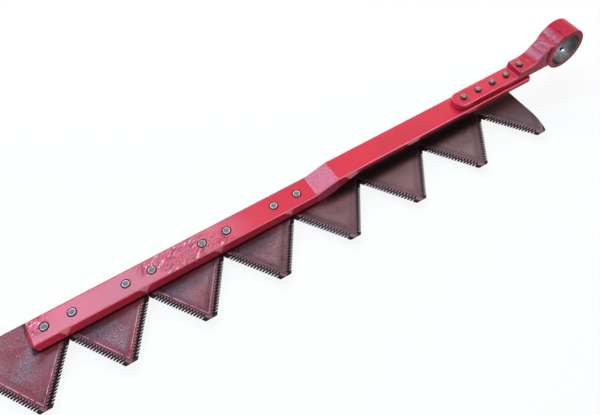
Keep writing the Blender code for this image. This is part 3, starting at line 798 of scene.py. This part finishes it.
def enamel(name, colour, depth, wrinkled, rippled, deeper):
    """Crimson enamel with orange peel, creased, rippled and deeper in colour where these say, with painted
    shade in its creases and painted highlights and reflections on its ridges, ripples and front edges.
    """
    finish, shader = new_finish(name, colour, 0.2)
    tree = finish.node_tree
    here = place_of(tree)
    along = work(tree, "SUBTRACT", add(tree, "ShaderNodeSeparateXYZ", Vector=here), knife_zero.x)
    facing = add(tree, "ShaderNodeTexCoord", out="Normal")
    upright = add(tree, "ShaderNodeSeparateXYZ", out="Z", Vector=facing)

    # Orange peel, creases with ridges beside them, and ripples
    peel = noise(tree, PEEL_SIZE, 2, 0.5)
    swell = noise(tree, SWELL_SIZE, 2, 0.4)
    height = work(tree, "MULTIPLY_ADD", swell, 0.6, times(peel, 0.05))
    near = 0.0
    for x, y, z, reach in wrinkled:
        centre = tuple(knife_zero + Vector((x, y, z)))
        gap = add(tree, "ShaderNodeVectorMath", {"operation": "DISTANCE"}, "Value", i0=here, i1=centre)
        near = work(tree, "MAXIMUM", near, ramp(gap, reach, reach * 0.4))
    lean = add(
        tree,
        "ShaderNodeMapping",
        {"vector_type": "TEXTURE"},
        Vector=here,
        Rotation=(0, 0, CREASE_LEAN),
        Scale=FOLD_LONG,
    )
    folds = noise(tree, FOLD_SIZE, 1.5, 0.5, lean, 0.4)
    kept = times(ramp(noise(tree, PATCH_SIZE), 0.38, 0.54), near)
    creases = times(ramp(folds, 0.50, 0.43, 0, depth), kept)
    ridges = ramp(noise(tree, RIDGE_SIZE), 0.50, 0.58)
    ridges = times(ramp(folds, 0.60, 0.66), ridges, kept)
    raised = times(ramp(folds, 0.46, 0.60), near)
    height = work(tree, "MULTIPLY_ADD", raised, 0.6 * depth, height)
    start, end, size = rippled
    slope = stretch(along, start, start + RIPPLE_END, end - RIPPLE_END, end)
    ripple = noise(tree, size, 2, 0.6)
    height = work(tree, "MULTIPLY_ADD", times(ripple, slope), 0.9, height)
    relief(shader, height, PAINT_RELIEF)

    # Uneven thickness, a painted reflection on the ripples, painted shade in the creases with painted
    # highlights on the ridges, and a painted highlight along the front edge
    thin = ramp(noise(tree, THIN_SIZE, 3), 0.35, 0.7)
    dark = tuple(part * 0.88 for part in colour)
    deep = tuple(part * 0.72 for part in colour)
    crease_shade = (colour[0] * 0.32, colour[1] * 0.1, colour[2] * 0.5)
    ripple_reflection = times(slope, ramp(ripple, 0.46, 0.58, 0.2 * depth, 0.8 * depth))
    way = add(tree, "ShaderNodeVectorMath", {"operation": "DOT_PRODUCT"}, "Value", i0=facing, i1=RIM_WAY)
    rim_highlight = ramp(way, *RIM_COMES, 0, 0.7)
    painted = blend(thin, colour, dark)
    painted = blend(stretch(along, *deeper), painted, deep)
    painted = blend(ripple_reflection, painted, RIPPLE_REFLECTION_LILAC)
    painted = blend(times(creases, 0.8), painted, crease_shade)
    painted = blend(times(ridges, 0.6 * depth), painted, CREST_HIGHLIGHT_PINK)
    painted = blend(rim_highlight, painted, RIM_HIGHLIGHT_PINK)
    join(painted, shader, "Base Color")

    # The front face is shinier than the top, and the ring duller than both
    front_gloss = ramp(along, *FRONT_GLOSS_COMES, 0.12, 1.0)
    gloss = ramp(upright, *FRONT_TO_TOP, front_gloss, 0.28)
    gloss = work(tree, "MULTIPLY_ADD", ridges, 0.5 * depth, gloss)
    gloss = work(tree, "MULTIPLY_ADD", kept, 0.12 * depth, gloss)
    gloss = work(tree, "SUBTRACT", gloss, times(creases, 0.25))
    gloss = times(gloss, ramp(along, *RING_DULL_ENDS, 0.4, 1))
    join(gloss, shader, "Specular IOR Level")
    bright = ramp(upright, *FRONT_TO_TOP, 0.15, 0)
    join(work(tree, "MAXIMUM", bright, times(rim_highlight, 0.64)), shader, "Metallic")
    satin = ramp(peel, 0.3, 0.7, 0.17, 0.23)
    satin = times(satin, ramp(upright, *FRONT_TO_TOP, 0.5, 1))
    join(satin, shader, "Roughness")
    return finish


bar_enamel = enamel("bar_enamel", ENAMEL, 1.0, BAR_CREASES, BAR_RIPPLES, BAR_DEEPER)

bar_outline = [
    (BAR_START, BAR_UNDER),
    (JOGGLE_UNDER_START, BAR_UNDER, UNDER_BEND_RADIUS),
    (JOGGLE_UNDER_START + JOGGLE_UNDER_LENGTH, STRIP_CLEAR, UNDER_BEND_RADIUS),
    (BAR_END, STRIP_CLEAR),
    (BAR_END, STRIP_TOP),
    (JOGGLE_START + JOGGLE_LENGTH, STRIP_TOP, JOGGLE_RADIUS),
    (JOGGLE_START, BAR_TOP, JOGGLE_RADIUS),
    (BAR_START + BAR_END_LEAN, BAR_TOP),
]
bar_front, bar_rear = RIVET_LINE - BAR_WIDTH / 2, RIVET_LINE + BAR_WIDTH / 2
bm = slab(rounded(bar_outline), bar_front, bar_rear, upright="Y")


def round_corners_at(bm, x, radius, steps):
    """Rounds the upright edges that stand at this X."""
    corners = []
    for edge in bm.edges:
        ends = [end.co for end in edge.verts]
        at_x = all(abs(end.x - x) < SAME_PLACE for end in ends)
        if at_x and abs(ends[0].y - ends[1].y) < SAME_PLACE:
            corners.append(edge)
    bmesh.ops.bevel(bm, geom=corners, offset=radius, segments=steps, profile=0.5, affect="EDGES")


round_corners_at(bm, BAR_END, BAR_CORNER_RADIUS, BAR_CORNER_STEPS)
for side in (-1, 1):
    face_y = RIVET_LINE + side * BAR_WIDTH / 2
    top = Vector((BAR_START + BAR_END_LEAN, face_y, BAR_TOP))
    foot_end = Vector((BAR_START, face_y - side * BAR_CORNER_SIDE, BAR_UNDER))
    foot_side = Vector((BAR_START + BAR_CORNER_BACK, face_y, BAR_UNDER))
    outward = (foot_side - top).cross(foot_end - top) * side
    trim(bm, top, outward.normalized())


def soften(made, width):
    """Rounds a piece's edges."""
    modifier = made.modifiers.new("edges", "BEVEL")
    modifier.width = width
    modifier.segments = 3
    modifier.limit_method = "ANGLE"
    modifier.angle_limit = math.radians(30)


def shaded(mesh):
    """Shades a mesh smooth, with its flat faces kept flat beside their rounded edges."""
    mesh.shade_smooth()
    mesh.set_sharp_from_angle(angle=math.radians(35))
    made = new_object("shading", mesh)
    modifier = made.modifiers.new("flat_faces", "WEIGHTED_NORMAL")
    modifier.keep_sharp = True
    modifier.weight = 80
    return finished_mesh(made)


# Painted shade in the spot faces round the long rivets, where the recessed paint lies in shadow, with a few
# lighter specks
SPOT_FACE_SHADE = (0.06, 0.012, 0.022)
SPOT_FACE_SHADE_SPECKS = (0.11, 0.03, 0.04)
SPOT_FACE_SPECK_SIZE = 0.001
spot_face_shade, spot_face_shade_shader = new_finish("spot_face_grime", SPOT_FACE_SHADE, 0.6)
spot_face_shade_shader.inputs["Specular IOR Level"].default_value = 0.1
tree = spot_face_shade.node_tree
specks = ramp(noise(tree, SPOT_FACE_SPECK_SIZE), 0.4, 0.7)
join(blend(specks, SPOT_FACE_SHADE, SPOT_FACE_SHADE_SPECKS), spot_face_shade_shader, "Base Color")

bar_mesh = mesh_from("head_bar", bm)
bar_mesh.materials.append(bar_enamel)
bar = new_object("head_bar_forging", bar_mesh)
soften(bar, BAR_EDGE)
drill(bar, "spot", LONG_RIVETS, SPOT_RADIUS, BAR_TOP - SPOT_DEPTH, BAR_TOP + CUT_BEYOND, spot_face_shade)
drill(bar, "bar_hole", LONG_RIVETS, RIVET_HOLE_RADIUS, -CUT_BEYOND, BAR_TOP)
drill(bar, "strip_hole", HEAD_RIVETS, HEAD_RIVET_HOLE, STRIP_CLEAR - CUT_BEYOND, STRIP_TOP + CUT_BEYOND)
new_piece("painted_head_bar", shaded(finished_mesh(bar)), "bar_paint", "head_bar")


# Section rivets
# Steel rivets through section, knife back and head bar, with flat ends that keep a raised rim. The long ones
# stand in spot faces of the bar, and the short ones on the sections beside it and under its raised strip.

BACK_UNDER = -0.0093
FOOT_RECESS = 0.0001
FOOT_RADIUS = 0.005
FOOT_DEPTH = 0.002
SHANK_RADIUS = 0.003
RIVET_TOP_RADIUS = 0.0036
RIVET_TOP_HEIGHT = 0.0007
RIVET_TOP_EDGE = 0.0005
DISH_DEPTH = 0.00035
DISH_RADIUS = 0.0019
DISH_FLOOR_RADIUS = 0.0023
DISH_WALL_RADIUS = 0.0025
DISH_RIM_RADIUS = 0.0027
RIVET_CLEARANCE = 0.0003
RIVET_SIDES = 32
# Where the middle point of a rounded edge lies, as a share of the edge's size
ROUND_MIDDLE = 0.3

WORN_STEEL = (0.42, 0.34, 0.34)
DISH_STEEL = (0.23, 0.165, 0.165)
# Dull steel below the crowns: dirt, and painted shade round the heads
DULL_GRIME_AND_SHADE = (0.040, 0.026, 0.026)
PIT_SIZE = 0.0012
PIT_RELIEF = 0.0002
TOP_REACH = 0.0003


def rivet_steel(name, crown, reach=TOP_REACH, dull=DULL_GRIME_AND_SHADE, worn=WORN_STEEL):
    """Steel that is rubbed bright down from the height of its crown, and dull below it, where dirt and
    painted shade lie round the head.
    """
    finish, shader = new_finish(name, dull, 0.42)
    tree = finish.node_tree
    pits = noise(tree, PIT_SIZE, 3, 0.6)
    height = add(tree, "ShaderNodeSeparateXYZ", out="Z", Vector=place_of(tree))
    rubbed = ramp(height, crown - reach, crown - reach / 2)
    rubbed = times(rubbed, ramp(pits, 0.30, 0.55))
    join(blend(rubbed, dull, worn), shader, "Base Color")
    join(ramp(pits, 0.3, 0.7, 0.5, 0.36), shader, "Roughness")
    join(ramp(rubbed, 0, 1, 0.05, 0.6), shader, "Metallic")
    join(ramp(rubbed, 0, 1, 0.1, 0.5), shader, "Specular IOR Level")
    relief(shader, pits, PIT_RELIEF)
    return finish


long_crown = knife_zero.z + BAR_TOP + RIVET_TOP_HEIGHT
short_crown = knife_zero.z + BAR_UNDER + RIVET_TOP_HEIGHT
long_finish = rivet_steel("long_rivet_steel", long_crown, dull=DISH_STEEL)
short_finish = rivet_steel("short_rivet_steel", short_crown)


def turned(name, profile, segments, finish):
    """A solid turned about Z from (radius, height) points that start and end on the axis."""
    bm = bmesh.new()
    points = [bm.verts.new((radius, 0, height)) for radius, height in profile]
    lines = [bm.edges.new(pair) for pair in zip(points, points[1:])]
    bmesh.ops.spin(
        bm,
        geom=points + lines,
        axis=(0, 0, 1),
        angle=math.tau,
        steps=segments,
        use_merge=True,
    )
    bmesh.ops.remove_doubles(bm, verts=bm.verts, dist=SAME_PLACE)
    mesh = mesh_from(name, bm)
    mesh.materials.append(finish)
    return new_object(name, mesh)


def section_rivet(name, seat, surface, finish):
    """A rivet whose shank ends at its seat, and whose end stands on a surface."""
    top = surface + RIVET_TOP_HEIGHT
    foot = BACK_UNDER + FOOT_RECESS
    profile = [
        (0, top - DISH_DEPTH * 0.9),
        (DISH_RADIUS, top - DISH_DEPTH),
        (DISH_FLOOR_RADIUS, top - DISH_DEPTH),
        (DISH_WALL_RADIUS, top - DISH_DEPTH * 0.6),
        (DISH_RIM_RADIUS, top),
        (RIVET_TOP_RADIUS - RIVET_TOP_EDGE, top),
        (RIVET_TOP_RADIUS - RIVET_TOP_EDGE * ROUND_MIDDLE, top - RIVET_TOP_EDGE * ROUND_MIDDLE),
        (RIVET_TOP_RADIUS, top - RIVET_TOP_EDGE),
        (RIVET_TOP_RADIUS, seat + RIVET_CLEARANCE),
        (SHANK_RADIUS, seat + RIVET_CLEARANCE),
        (SHANK_RADIUS, foot + FOOT_DEPTH),
        (FOOT_RADIUS, foot),
        (0, foot),
    ]
    return turned(name, profile, RIVET_SIDES, finish)


# A row of rivets in pairs: the first of each pair a pitch apart, and its partner a gap further on
rivet_rows = new_geometry_tree(
    "rivet_rows",
    Rivet="Object",
    First="Vector",
    Pitch="Vector",
    Gap="Vector",
    Count="Int",
    Partners="Int",
    Finish="Material",
)
given = rivet_rows.nodes.new("NodeGroupInput").outputs
second = add(
    rivet_rows, "ShaderNodeVectorMath", {"operation": "ADD"}, i0=given["First"], i1=given["Gap"]
)
places = rivet_rows.nodes.new("GeometryNodeJoinGeometry")
for start, count in ((given["First"], given["Count"]), (second, given["Partners"])):
    line = add(
        rivet_rows, "GeometryNodeMeshLine", Count=count, Start_Location=start, Offset=given["Pitch"]
    )
    rivet_rows.links.new(line, places.inputs[0])
rivet = add(rivet_rows, "GeometryNodeObjectInfo", out="Geometry", Object=given["Rivet"])
rivets = add(rivet_rows, "GeometryNodeInstanceOnPoints", Points=places.outputs[0], Instance=rivet)
rivets = add(rivet_rows, "GeometryNodeRealizeInstances", Geometry=rivets)
rivets = add(rivet_rows, "GeometryNodeSetMaterial", Geometry=rivets, Material=given["Finish"])
everything = rivet_rows.nodes.new("GeometryNodeJoinGeometry")
rivet_rows.links.new(given["Geometry"], everything.inputs[0])
rivet_rows.links.new(rivets, everything.inputs[0])
rivet_rows.links.new(everything.outputs[0], rivet_rows.nodes.new("NodeGroupOutput").inputs[0])


def riveted(name, slot, nodes, *rows):
    """One piece of all rivets of a kind, from rows of (rivet, finish, first x, pitch, gap, count,
    partners)."""
    made = new_object(name + "_rows", bpy.data.meshes.new(name))
    for rivet, finish, first, pitch, gap, count, partners in rows:
        grow(
            made,
            rivet_rows,
            Rivet=rivet,
            First=(first, RIVET_LINE, 0),
            Pitch=(pitch, 0, 0),
            Gap=(gap, 0, 0),
            Count=count,
            Partners=partners,
            Finish=finish,
        )
    mesh = shaded(finished_mesh(made))
    return new_piece(name, mesh, slot, *nodes)


long_rivet = section_rivet("long_rivet", BAR_TOP - SPOT_DEPTH, BAR_TOP, long_finish)
short_rivet = section_rivet("short_rivet", 0, BAR_UNDER, short_finish)
FIRST_SHORT_RIVET = (SECTION_PITCH - RIVET_SPREAD) / 2
SHORT_ROW_START = FIRST_LONG_RIVET + LONG_PAIRS * SECTION_PITCH
END_GAP = (SECTION_COUNT - 0.5) * SECTION_PITCH - FIRST_SHORT_RIVET
riveted(
    "long_section_rivets",
    "section_rivet_steel",
    [f"section_rivet_{number}" for number in range(2, 10)],
    (long_rivet, long_finish, FIRST_LONG_RIVET, SECTION_PITCH, JOINT_GAP, LONG_PAIRS, LONG_PAIRS),
)
riveted(
    "short_section_rivets",
    "section_rivet_steel",
    [f"section_rivet_{number}" for number in (1, *range(10, 17))],
    (short_rivet, short_finish, SHORT_ROW_START, SECTION_PITCH, JOINT_GAP, 3, 3),
    (short_rivet, short_finish, FIRST_SHORT_RIVET, SECTION_PITCH, END_GAP, 1, 1),
)


# Knife head
# A forging of its own: a flat tongue riveted on the raised strip, a step up to a neck that rises into the
# eye, and a bore turned in bare steel with a drilled oil hole. The rest has the bar's enamel.

EYE_X = 0.6417
EYE_Z = 0.034
BORE_RADIUS = 0.0178
RING_RADIUS = 0.0229
EYE_WIDTH = 0.024
EYE_EDGE = 0.0009
BORE_EDGE = 0.0003
TONGUE_START = 0.5053
TONGUE_WIDTH = 0.020
TONGUE_UNDER = 0.0196
TONGUE_TOP = 0.0261
TONGUE_RADIUS = 0.0085
NECK_START = 0.5815
NECK_LEAN = 0.0015
NECK_TOP = 0.0323
RISE_START = 0.6029
RISE_END = 0.620
RISE_HEIGHT = 0.0148
RISE_RADIUS = 0.024
HEAD_EDGE = 0.0012
NECK_END_ANGLE = math.radians(40)
OIL_HOLE_RADIUS = 0.0025
OIL_HOLE_ANGLE = math.radians(-52)
EYE_SIDES = 96
RISE_STEPS = 14
TONGUE_STEPS = 10

HEAD_ENAMEL = (0.80, 0.024, 0.064)
HEAD_CREASES = (
    (0.617, 0.015, 0.044, 0.014),
    (0.630, 0.012, 0.053, 0.012),
)
HEAD_RIPPLES = (0.611, 0.627, 0.0019)
# From the neck on, and to beyond the knife's end
HEAD_DEEPER = (0.576, 0.590, 1, 2, 1)
head_enamel = enamel("head_enamel", HEAD_ENAMEL, 0.6, HEAD_CREASES, HEAD_RIPPLES, HEAD_DEEPER)

BORE_STEEL = (0.125, 0.102, 0.104)
BORE_LIGHT = (0.215, 0.180, 0.180)
# Painted shade at the bore's lower left
BORE_SHADE = (0.025, 0.013, 0.016)
TURN_MARK_SIZE = 0.0012
TURN_MARK_LONG = (0.05, 1, 0.05)
TURN_MARK_RELIEF = 0.00008
BORE_CLOUD_SIZE = 0.006
# From the eye's centre: where the painted shade at the bore's lower left comes in leftwards, and downwards
BORE_SHADE_LEFT = (0.004, -0.007)
BORE_SHADE_LOW = (-0.008, -0.016)
bore_finish, bore_shader = new_finish("turned_bore", BORE_STEEL, 0.5, 0.6)
tree = bore_finish.node_tree
rings = noise(tree, TURN_MARK_SIZE, 2, 0.5, stretched(tree, TURN_MARK_LONG))
join(ramp(rings, 0.3, 0.7, 0.46, 0.62), bore_shader, "Roughness")
lighter = ramp(noise(tree, BORE_CLOUD_SIZE, 4), 0.35, 0.7)
colour = blend(lighter, BORE_STEEL, BORE_LIGHT)
spot = add(tree, "ShaderNodeSeparateXYZ", Vector=place_of(tree))
from_centre = work(tree, "SUBTRACT", spot, knife_zero.x + EYE_X)
above_centre = work(tree, "SUBTRACT", spot.node.outputs["Z"], knife_zero.z + EYE_Z)
# Painted shade, darker towards the bore's lower left
bore_shade = times(ramp(from_centre, *BORE_SHADE_LEFT), ramp(above_centre, *BORE_SHADE_LOW), 0.85)
join(blend(bore_shade, colour, BORE_SHADE), bore_shader, "Base Color")
relief(bore_shader, rings, TURN_MARK_RELIEF)

into_eye = EYE_X - (BORE_RADIUS + RING_RADIUS) / 2 * math.cos(NECK_END_ANGLE)
head_outline = [
    (TONGUE_START, TONGUE_UNDER),
    (into_eye, TONGUE_UNDER),
    (into_eye, NECK_TOP + RISE_HEIGHT + EYE_EDGE),
    (RISE_END, NECK_TOP + RISE_HEIGHT),
    (RISE_START, NECK_TOP, RISE_RADIUS),
    (NECK_START + NECK_LEAN, NECK_TOP),
    (NECK_START, TONGUE_TOP),
    (TONGUE_START, TONGUE_TOP),
]
tongue_front, tongue_rear = RIVET_LINE - TONGUE_WIDTH / 2, RIVET_LINE + TONGUE_WIDTH / 2
bm = slab(rounded(head_outline, RISE_STEPS), tongue_front, tongue_rear, upright="Y")
round_corners_at(bm, TONGUE_START, TONGUE_RADIUS, TONGUE_STEPS)
head_mesh = mesh_from("knife_head", bm)
head_mesh.materials.append(head_enamel)
head = new_object("knife_head_forging", head_mesh)
soften(head, HEAD_EDGE)


def eye_solid(name, profile, finish):
    """A solid turned about the eye's axis, from (radius, distance behind the front face)."""
    made = turned(name, profile, EYE_SIDES, finish)
    turn = Matrix.Rotation(-math.pi / 2, 4, "X")
    made.data.transform(Matrix.Translation((EYE_X, RIVET_LINE - EYE_WIDTH / 2, EYE_Z)) @ turn)
    return made


ring = eye_solid(
    "eye_ring",
    [
        (0, EYE_WIDTH),
        (RING_RADIUS - EYE_EDGE, EYE_WIDTH),
        (RING_RADIUS - EYE_EDGE * ROUND_MIDDLE, EYE_WIDTH - EYE_EDGE * ROUND_MIDDLE),
        (RING_RADIUS, EYE_WIDTH - EYE_EDGE),
        (RING_RADIUS, EYE_EDGE),
        (RING_RADIUS - EYE_EDGE * ROUND_MIDDLE, EYE_EDGE * ROUND_MIDDLE),
        (RING_RADIUS - EYE_EDGE, 0),
        (0, 0),
    ],
    head_enamel,
)
flare = BORE_RADIUS + BORE_EDGE + CUT_BEYOND
bore = eye_solid(
    "eye_bore",
    [
        (0, EYE_WIDTH + CUT_BEYOND),
        (flare, EYE_WIDTH + CUT_BEYOND),
        (BORE_RADIUS, EYE_WIDTH - BORE_EDGE),
        (BORE_RADIUS, BORE_EDGE),
        (flare, -CUT_BEYOND),
        (0, -CUT_BEYOND),
    ],
    bore_finish,
)
oil_inner, oil_outer = BORE_RADIUS - CUT_BEYOND, RING_RADIUS + CUT_BEYOND
# The oil hole is lined with the grooves' dark finish, as painted shade inside it
oil_hole = cylinder("oil_hole", (0, 0), OIL_HOLE_RADIUS, oil_inner, oil_outer, groove_finish)
oil_turn = Matrix.Rotation(math.pi / 2 - OIL_HOLE_ANGLE, 4, "Y")
oil_hole.data.transform(Matrix.Translation((EYE_X, RIVET_LINE, EYE_Z)) @ oil_turn)
cut(head, ring, "UNION")
cut(head, bore)
cut(head, oil_hole)
head_top = NECK_TOP + CUT_BEYOND
drill(head, "head_hole", HEAD_RIVETS, HEAD_RIVET_HOLE, TONGUE_UNDER - CUT_BEYOND, head_top)
new_piece("painted_knife_head", shaded(finished_mesh(head)), "head_paint", "knife_head")


# Head rivets
# Four steel rivets hold the tongue to the raised strip, and one holds the neck. Their heads are low domes
# with a flattened crown, and they are closed flat under the strip.

HEAD_SHANK_RADIUS = 0.0025
HEAD_RIVET_RADIUS = 0.0035
HEAD_RIVET_HEIGHT = 0.0025
HEAD_RIVET_FLAT = 0.0017
CLOSING_HEIGHT = 0.0018
CROWN_STEPS = 6
CROWN_SHOULDER = 0.15

HEAD_STEEL = (0.22, 0.160, 0.162)
HEAD_REACH = 0.0010
tongue_crown = knife_zero.z + TONGUE_TOP + HEAD_RIVET_HEIGHT
neck_crown = knife_zero.z + NECK_TOP + HEAD_RIVET_HEIGHT
tongue_finish = rivet_steel("tongue_rivet_steel", tongue_crown, HEAD_REACH, worn=HEAD_STEEL)
neck_finish = rivet_steel("neck_rivet_steel", neck_crown, HEAD_REACH, worn=HEAD_STEEL)


def head_rivet(name, seat, finish):
    """A rivet with a low dome on its seat, closed flat under the strip."""
    foot = seat + RIVET_CLEARANCE
    closing = STRIP_CLEAR - RIVET_CLEARANCE
    crown = []
    for step in range(CROWN_STEPS + 1):
        turn = math.pi / 2 * step / CROWN_STEPS
        radius = HEAD_RIVET_FLAT + (HEAD_RIVET_RADIUS - HEAD_RIVET_FLAT) * math.sin(turn)
        rise = CROWN_SHOULDER + (1 - CROWN_SHOULDER) * math.cos(turn)
        crown.append((radius, foot + HEAD_RIVET_HEIGHT * rise))
    profile = [
        (0, foot + HEAD_RIVET_HEIGHT),
        *crown,
        (HEAD_RIVET_RADIUS, foot),
        (HEAD_SHANK_RADIUS, foot),
        (HEAD_SHANK_RADIUS, closing),
        (HEAD_RIVET_RADIUS, closing),
        (HEAD_RIVET_FLAT, closing - CLOSING_HEIGHT),
        (0, closing - CLOSING_HEIGHT),
    ]
    return turned(name, profile, RIVET_SIDES, finish)


tongue_rivet = head_rivet("tongue_rivet_solid", TONGUE_TOP, tongue_finish)
neck_rivet = head_rivet("neck_rivet_solid", NECK_TOP, neck_finish)
riveted(
    "head_rivets",
    "head_rivet_steel",
    [f"head_rivet_{number}" for number in range(1, 5)] + ["neck_rivet"],
    (tongue_rivet, tongue_finish, FIRST_HEAD_RIVET, 2 * HEAD_PITCH, HEAD_PITCH, 2, 2),
    (neck_rivet, neck_finish, NECK_RIVET, HEAD_PITCH, 0, 1, 0),
)

# The cutters and the single rivets have done their work
tools = [
    made
    for made in bpy.context.scene.objects
    if made.type == "MESH" and made.name not in frame["nodes"] and not body_of(made)
]
for made in tools:
    bpy.data.objects.remove(made, do_unlink=True)


# Floor, light and camera
# A plain white floor, a blue window light behind the knife that glares lilac on its left part, soft lights
# over it, behind it, in front and at its left side, and the photograph's own view.

FLOOR_SIZE = 60
# The floor's colour and glow, and the world's light, as they light the knife and as they are seen
FLOOR_LIGHTS = (0.15, 0.15, 0.15)
FLOOR_SEEN = (0.10, 0.10, 0.10)
FLOOR_GLOW = 0.90
WORLD_LIGHTS = 0.09
WORLD_SEEN = 1.0


def seen_share(tree):
    """1 for a ray that sees something, straight, mirrored or through glass, and 0 for one that lights."""
    rays = tree.nodes.new("ShaderNodeLightPath").outputs
    seen = work(tree, "MAXIMUM", rays["Is Camera Ray"], rays["Is Glossy Ray"])
    return work(tree, "MAXIMUM", seen, rays["Is Transmission Ray"])


bm = bmesh.new()
bmesh.ops.create_grid(bm, x_segments=1, y_segments=1, size=FLOOR_SIZE)
floor_mesh = mesh_from("floor", bm)
floor = new_object("floor", floor_mesh)
floor_finish, floor_shader = new_finish("floor_white", FLOOR_LIGHTS, 0.9)
floor_shader.inputs["Specular IOR Level"].default_value = 0
floor_shader.inputs["Emission Color"].default_value = (1, 1, 1, 1)
tree = floor_finish.node_tree
seen = seen_share(tree)
join(blend(seen, FLOOR_LIGHTS, FLOOR_SEEN), floor_shader, "Base Color")
join(times(seen, FLOOR_GLOW), floor_shader, "Emission Strength")
floor_mesh.materials.append(floor_finish)

world = bpy.data.worlds.new("studio")
world.use_nodes = True
tree = world.node_tree
background = tree.nodes["Background"]
background.inputs["Color"].default_value = (1, 1, 1, 1)
strength = work(tree, "MULTIPLY_ADD", seen_share(tree), WORLD_SEEN - WORLD_LIGHTS, WORLD_LIGHTS)
join(strength, background, "Strength")
bpy.context.scene.world = world


def area_light(name, at, towards, size, power, colour):
    lamp = bpy.data.lights.new(name, "AREA")
    lamp.shape = "RECTANGLE"
    lamp.size, lamp.size_y = size
    lamp.energy = power
    lamp.color = colour
    holder = new_object(name, lamp)
    holder.location = at
    holder.rotation_euler = (Vector(towards) - Vector(at)).to_track_quat("-Z", "Y").to_euler()
    return holder


# Each light's place, the point it looks at, its size, power and colour
area_light("window_light", (-0.375, 0.78, 1.27), (-0.22, 0.02, 0), (1.02, 0.34), 15.5, (0.30, 0.72, 1.0))
area_light("overhead_light", (0.75, 0.20, 1.4), (0.25, 0, 0), (1.0, 0.35), 5.5, (1.0, 0.88, 0.80))
area_light("back_light", (0.55, 1.25, 1.0), (0.15, 0, 0), (1.9, 0.3), 21.0, (1.0, 0.88, 0.82))
area_light("front_strip", (0.35, -0.6, 1.05), (0, 0, 0), (1.7, 0.05), 0.7, (1.0, 0.88, 0.95))
side_light = area_light(
    "side_light", (-0.82, -0.42, 0.15), (-0.3, 0, 0.01), (0.5, 0.14), 5.0, (0.55, 0.78, 1.0)
)
# Its glare would burn out the bar's end as seen from behind
side_light.visible_glossy = False

camera = new_object("camera", bpy.data.cameras.new("camera"))
camera.location = (-0.17643, -0.31, 0.52842)
camera.rotation_euler = (math.radians(34.665), math.radians(3.448), math.radians(-31.238))
camera.data.lens = 39.26
camera.data.sensor_width = 36
camera.data.clip_start = 0.01
bpy.context.scene.camera = camera
bpy.context.scene.view_settings.view_transform = "Standard"
